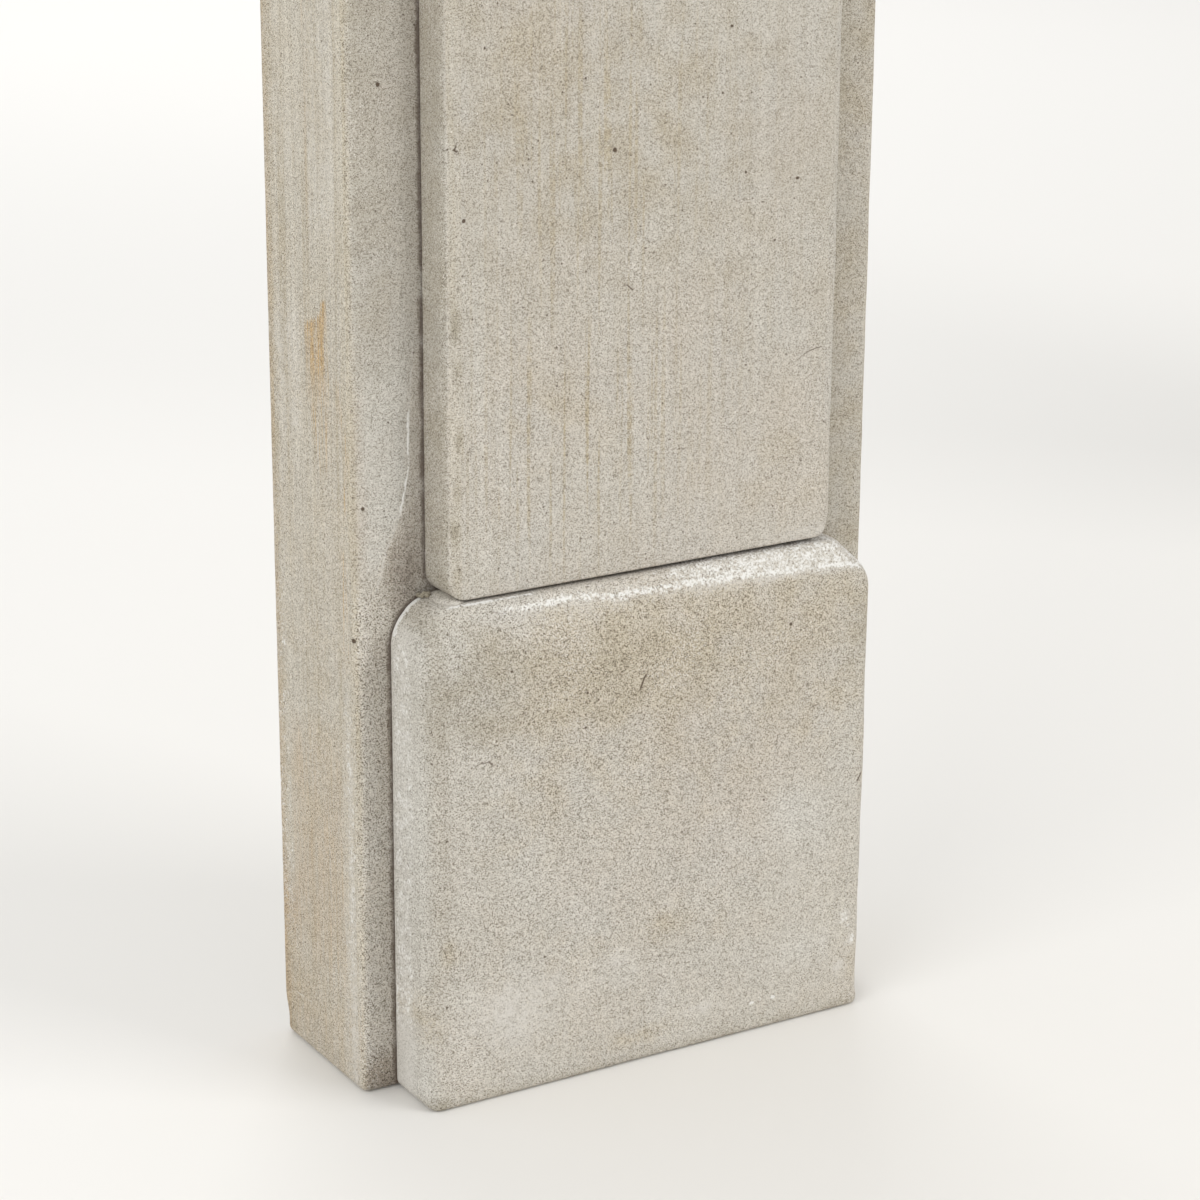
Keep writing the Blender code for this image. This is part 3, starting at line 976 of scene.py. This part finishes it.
# Pits by node and fixed axis: place across and up, and half width
PITS = {
    ("left_pilaster", 1): (
        (99.8, 364.7, 0.85), (36.8, 344.5, 0.75), (157.5, 351.5, 0.5),
        (146.5, 381.9, 0.5), (171.3, 324.2, 0.5), (87.3, 391.8, 0.45),
        (45.7, 405.4, 0.45),
    ),
    ("left_plinth_block", 1): (
        (176.5, 172.4, 0.7), (83.6, 160.3, 0.5), (88.5, 156.6, 0.45),
        (74.3, 159.1, 0.45), (82.8, 146.3, 0.55), (50.5, 174.5, 0.5),
        (22.2, 112.0, 0.5), (64.8, 55.3, 0.5), (21.6, 43.9, 0.45),
        (165.6, 100.4, 0.5),
    ),
    ("left_jamb_slab", 1): (
        (4.0, 237.4, 0.75), (12.9, 392.3, 0.8),
    ),
    ("left_jamb_slab", 0): (
        (2.6, 186.0, 0.95),
    ),
}

# How far in X the side faces reach that carry marks of fixed axis 0
SIDE_ENDS = {"left_jamb_slab": 4.0, "left_pilaster": 33.0}


def add_marks(node, x, y, z, masks):
    """For each point the nearest mark, as its place along and across it and its half length."""
    marks = []
    for axis in (0, 1):
        marks += [(axis, *line) for line in LINES.get((node, axis), ())]
        pits = PITS.get((node, axis), ())
        marks += [(axis, across, up, across, up, width, 0) for across, up, width in pits]
    best = np.full(len(x), np.inf)
    masks.mark = np.full((len(x), 3), FAR)
    masks.mark_width = np.zeros(len(x))
    for axis, *ends, width, bend in marks:
        start, end = np.array(ends).reshape(2, 2)
        middle = (start + end) / 2
        span = end - start
        half = np.linalg.norm(span) / 2
        along = span / (2 * half) if half > 0 else np.array([1.0, 0.0])
        offset = np.stack([x if axis else y, z], axis=1) - middle
        u = offset @ along
        v = offset @ np.array([-along[1], along[0]])
        if half > 0:
            v = v - bend * (1 - (u / half) ** 2)
        distance = np.hypot(np.maximum(np.abs(u) - half, 0), v)
        if axis == 0:
            distance = np.where(x < SIDE_ENDS[node], distance, np.inf)
        nearer = distance < best
        best[nearer] = distance[nearer]
        near = nearer & (distance < MARK_REACH)
        far = nearer & ~near
        masks.mark[near] = np.stack([u, v, np.full_like(u, half)], axis=1)[near]
        masks.mark[far] = np.stack([0 * u + FAR, np.sign(v) * FAR, 0 * u], axis=1)[far]
        masks.mark_width[nearer] = width


# Nicks out of the arrises: node, place and the bite's radius
NICKS = (
    ("left_pilaster", (202.4, -19.4, 277.7), 3.4),
    ("left_pilaster", (202.2, -19.3, 283.5), 2.7),
    ("left_plinth_block", (217.2, -28.9, 62.0), 3.8),
    ("left_plinth_block", (217.0, -28.7, 54.4), 3.6),
    ("left_plinth_block", (217.2, -29.0, 128.0), 3.8),
    ("left_plinth_block", (150.0, -29.4, -0.9), 2.6),
    ("left_jamb_slab", (-0.6, -0.6, 131.0), 3.3),
    ("left_jamb_slab", (-0.5, -0.7, 146.0), 2.8),
)

# Random nicks of the other blocks: number, radii, and depths in millimetres. A rounded arris
# lies inside the sharp one by ARRIS_INSET of its radius, and a nick's centre lies out on the
# diagonal.
RANDOM_NICKS = 5
NICK_REACH = (3.0 * MM, 6.0 * MM)
NICK_DEPTH = (0.3, 0.9)
ARRIS_INSET = 0.41
DIAGONAL = 0.7


def nicks_of(node, block, seed):
    """The chips of one block: those listed for it, or else a few at random."""
    listed = [
        (ORIGIN + np.array(at) * MM, reach * MM) for owner, at, reach in NICKS if owner == node
    ]
    if listed:
        return listed
    low, high = block.low, block.high
    random = np.random.default_rng(seed)
    made = []
    for _ in range(RANDOM_NICKS):
        reach = random.uniform(*NICK_REACH)
        outward = reach - ARRIS_INSET * block.form.front - random.uniform(*NICK_DEPTH) * MM
        out = DIAGONAL * outward
        x = random.choice((low[0] - out, high[0] + out))
        z = random.uniform(low[2], high[2])
        if high[0] - low[0] > high[2] - low[2]:
            x = random.uniform(low[0], high[0])
            z = random.choice((low[2] - out, high[2] + out))
        made.append((np.array([x, low[1] - out, z]), reach))
    return made


# How far inside the sharp-edged form the arrises lie that are painted paler, partly as wear and partly
# as painted highlight
ARRIS_WEAR_AND_HIGHLIGHT = (0.5 * MM, 1.6 * MM)

# Each block's seeds are its number times these
NICK_SEED = 7
WEAR_SEED = 10
STAIN_SEED = 100


def masks_of(block, node, points, seed):
    masks = clear_masks(len(points))
    masks.tide = np.full((len(points), 3), -FAR)
    # Paler arrises, partly wear and partly painted highlight
    masks.arris = rise(block.arris(points), *ARRIS_WEAR_AND_HIGHLIGHT)
    x, y, z = ((points - ORIGIN) / MM).T
    own_stains = {
        "left_jamb_slab": left_jamb_stains,
        "left_pilaster": left_pilaster_stains,
        "left_plinth_block": left_plinth_stains,
    }
    if node in own_stains:
        clouds = clear_masks(len(points))
        general_stains(points, seed, clouds)
        own_stains[node](x, y, z, masks)
        beyond = rise(z, CLOSE_HEIGHT, CLOSE_HEIGHT + CLOSE_FADE)
        clouded = CLOUDED_SHARE + (1 - CLOUDED_SHARE) * beyond
        for name in MASKS:
            vars(masks)[name] += vars(clouds)[name] * clouded
    else:
        general_stains(points, seed, masks)
        if block.form.splay:
            splay_stains(block, points, seed, masks)
    add_marks(node, x, y, z, masks)
    # Painted shade and dirt beside the other blocks: how far they lie, and how strongly it darkens
    # this kind of block
    kind = node.split("_", 1)[1]
    share = CREVICE_SHARES.get(kind, CREVICE_SHARE)
    masks.crevice = np.full((len(points), 3), share)
    masks.crevice[:, 0] = crevices(node, points)
    return masks


def add_piece(name, mesh, material, node=None):
    """Adds a mesh to the scene, in place of a node of the frame if one is given."""
    mesh.materials.append(material)
    piece = bpy.data.objects.new(name, mesh)
    bpy.context.scene.collection.objects.link(piece)
    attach(piece, "root")
    if node:
        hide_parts(node)


def build_blocks(material):
    for number, (node, (form, fine, *coarse)) in enumerate(BLOCKS.items(), 1):
        block = Block(node, form)
        block.chips = nicks_of(node, block, NICK_SEED * number)
        if node.endswith("pilaster"):
            block.slope_of_bed = SLOPE_OF_BED
        lines = []
        for i, zones in enumerate(ZONES.get(node, ((), (), ()))):
            low, high = block.low[i], block.high[i]
            zones = [(low + a * MM, low + b * MM, step * MM) for a, b, step in zones]
            lines.append(lattice_lines(low, high, fine * MM, coarse[i] * MM, zones))
        points, faces = lattice(*lines)
        points = block.settle(points, WEAR_SEED * number)
        masks = masks_of(block, node, points, STAIN_SEED * number)
        mesh = make_mesh(node + "_stone", points, faces, masks)
        add_piece(node + "_stone", mesh, material, node)


# Old mortar by the left pilaster's foot. Each heap has a count, the fineness of its lumps, their
# least and greatest half sizes, the ends of the line that they lie along, their scatter, how
# uneven they are and their stains.
HEAPS = (
    (16, 2, (0.3,) * 3, (1.2,) * 3, (26.0, -1.2, 200.9), (28.2, -5.5, 202.0), 0.45, 0.22,
     {"warm": 0.5, "olive": 0.9}),
    (1, 4, (5.6, 8.6, 2.0), (5.8, 8.7, 2.1), (33.2, -9.6, 200.9), (33.2, -9.6, 200.9), 0.0, 0.05,
     {"dust": 0.4, "olive": 0.2, "coarse": 0.8}),
)
MORTAR_SEED = 5

# Waves on a lump of radius 1, and how far apart the lumps lie in them
LUMP_WAVES = 1.3
LUMP_SHIFT = 9.0


def make_mortar(material):
    random = np.random.default_rng(MORTAR_SEED)
    points, faces, stains = [], [], []
    for count, fineness, least, greatest, start, end, scatter, uneven, stain in HEAPS:
        bm = bmesh.new()
        bmesh.ops.create_icosphere(bm, subdivisions=fineness, radius=1.0)
        ball = np.array([vert.co for vert in bm.verts])
        ball_faces = np.array([[vert.index for vert in face.verts] for face in bm.faces])
        bm.free()
        for number in range(count):
            bumps = waves(ball + LUMP_SHIFT * number, LUMP_WAVES, number)
            lump = ball * (1 + uneven * bumps[:, None])
            share = (number + 0.5) / count
            middle = np.array(start) * (1 - share) + np.array(end) * share
            middle += random.normal(0, 1, 3) * scatter
            faces.append(ball_faces + sum(map(len, points)))
            points.append(ORIGIN + (middle + lump * random.uniform(least, greatest)) * MM)
            stains += [stain] * len(ball)
    points = np.concatenate(points)
    masks = {name: np.array([stain.get(name, 0.0) for stain in stains]) for name in MASKS}
    masks = SimpleNamespace(**masks)
    masks.tide = np.full((len(points), 3), -FAR)
    masks.mark = np.full((len(points), 3), FAR)
    mesh = make_mesh("mortar_crumbs", points, np.concatenate(faces), masks)
    add_piece("mortar_crumbs", mesh, material)


def make_camera():
    yaw, pitch, roll = CAMERA_YAW, CAMERA_PITCH, CAMERA_ROLL
    ahead = Vector((math.sin(yaw), math.cos(yaw), 0)) * math.cos(pitch)
    ahead.z = math.sin(pitch)
    level = Vector((math.cos(yaw), -math.sin(yaw), 0))
    upright = level.cross(ahead)
    right = level * math.cos(roll) + upright * math.sin(roll)
    up = upright * math.cos(roll) - level * math.sin(roll)
    data = bpy.data.cameras.new("camera")
    data.lens = CAMERA_LENS
    data.sensor_width = CAMERA_SENSOR
    camera = bpy.data.objects.new("camera", data)
    turn = Matrix((right, up, -ahead)).transposed().to_4x4()
    camera.matrix_world = Matrix.Translation(Vector(ORIGIN) + CAMERA_PLACE) @ turn
    bpy.context.scene.collection.objects.link(camera)
    bpy.context.scene.camera = camera


FLOOR_SIZE = 80.0
FLOOR_COLOUR = (236, 234, 230)
FLOOR_ROUGHNESS = 0.6
FLOOR_SPECULAR = 0.2

# Square lights: name, place, size, power and colour, all turned to LIGHT_TARGET
LIGHTS = (
    ("key", (2.2, -3.4, 2.6), 2.4, 95, (1.0, 0.99, 0.98)),
    ("fill", (-3.4, -1.2, 1.8), 2.4, 45, (1.0, 0.995, 0.985)),
    ("rear", (0.6, 3.6, 2.4), 2.6, 45, (0.99, 0.995, 1.0)),
)
LIGHT_TARGET = Vector((0, 0, 0.6))
WORLD_COLOUR = (0.988, 0.994, 1.0, 1.0)
WORLD_STRENGTH = 0.72


def make_floor():
    bpy.ops.mesh.primitive_plane_add(size=FLOOR_SIZE)
    floor = bpy.context.object
    floor.name = "floor"
    material, shader = new_material("pale_floor", FLOOR_ROUGHNESS, FLOOR_SPECULAR)
    shader.inputs["Base Color"].default_value = linear(FLOOR_COLOUR)
    floor.data.materials.append(material)


def make_light(name, place, size, power, colour):
    data = bpy.data.lights.new(name, "AREA")
    data.shape = "SQUARE"
    data.size = size
    data.energy = power
    data.color = colour
    lamp = bpy.data.objects.new(name, data)
    lamp.location = place
    lamp.rotation_mode = "QUATERNION"
    lamp.rotation_quaternion = (LIGHT_TARGET - Vector(place)).to_track_quat("-Z", "Y")
    lamp.visible_camera = False
    bpy.context.scene.collection.objects.link(lamp)


def make_lights():
    world = bpy.data.worlds.new("studio")
    world.use_nodes = True
    background = world.node_tree.nodes["Background"]
    background.inputs["Color"].default_value = WORLD_COLOUR
    background.inputs["Strength"].default_value = WORLD_STRENGTH
    scene = bpy.context.scene
    scene.world = world
    scene.view_settings.view_transform = "Standard"
    for light in LIGHTS:
        make_light(*light)


make_camera()
sandstone = stone_material()
build_blocks(sandstone)
make_mortar(sandstone)
make_floor()
make_lights()
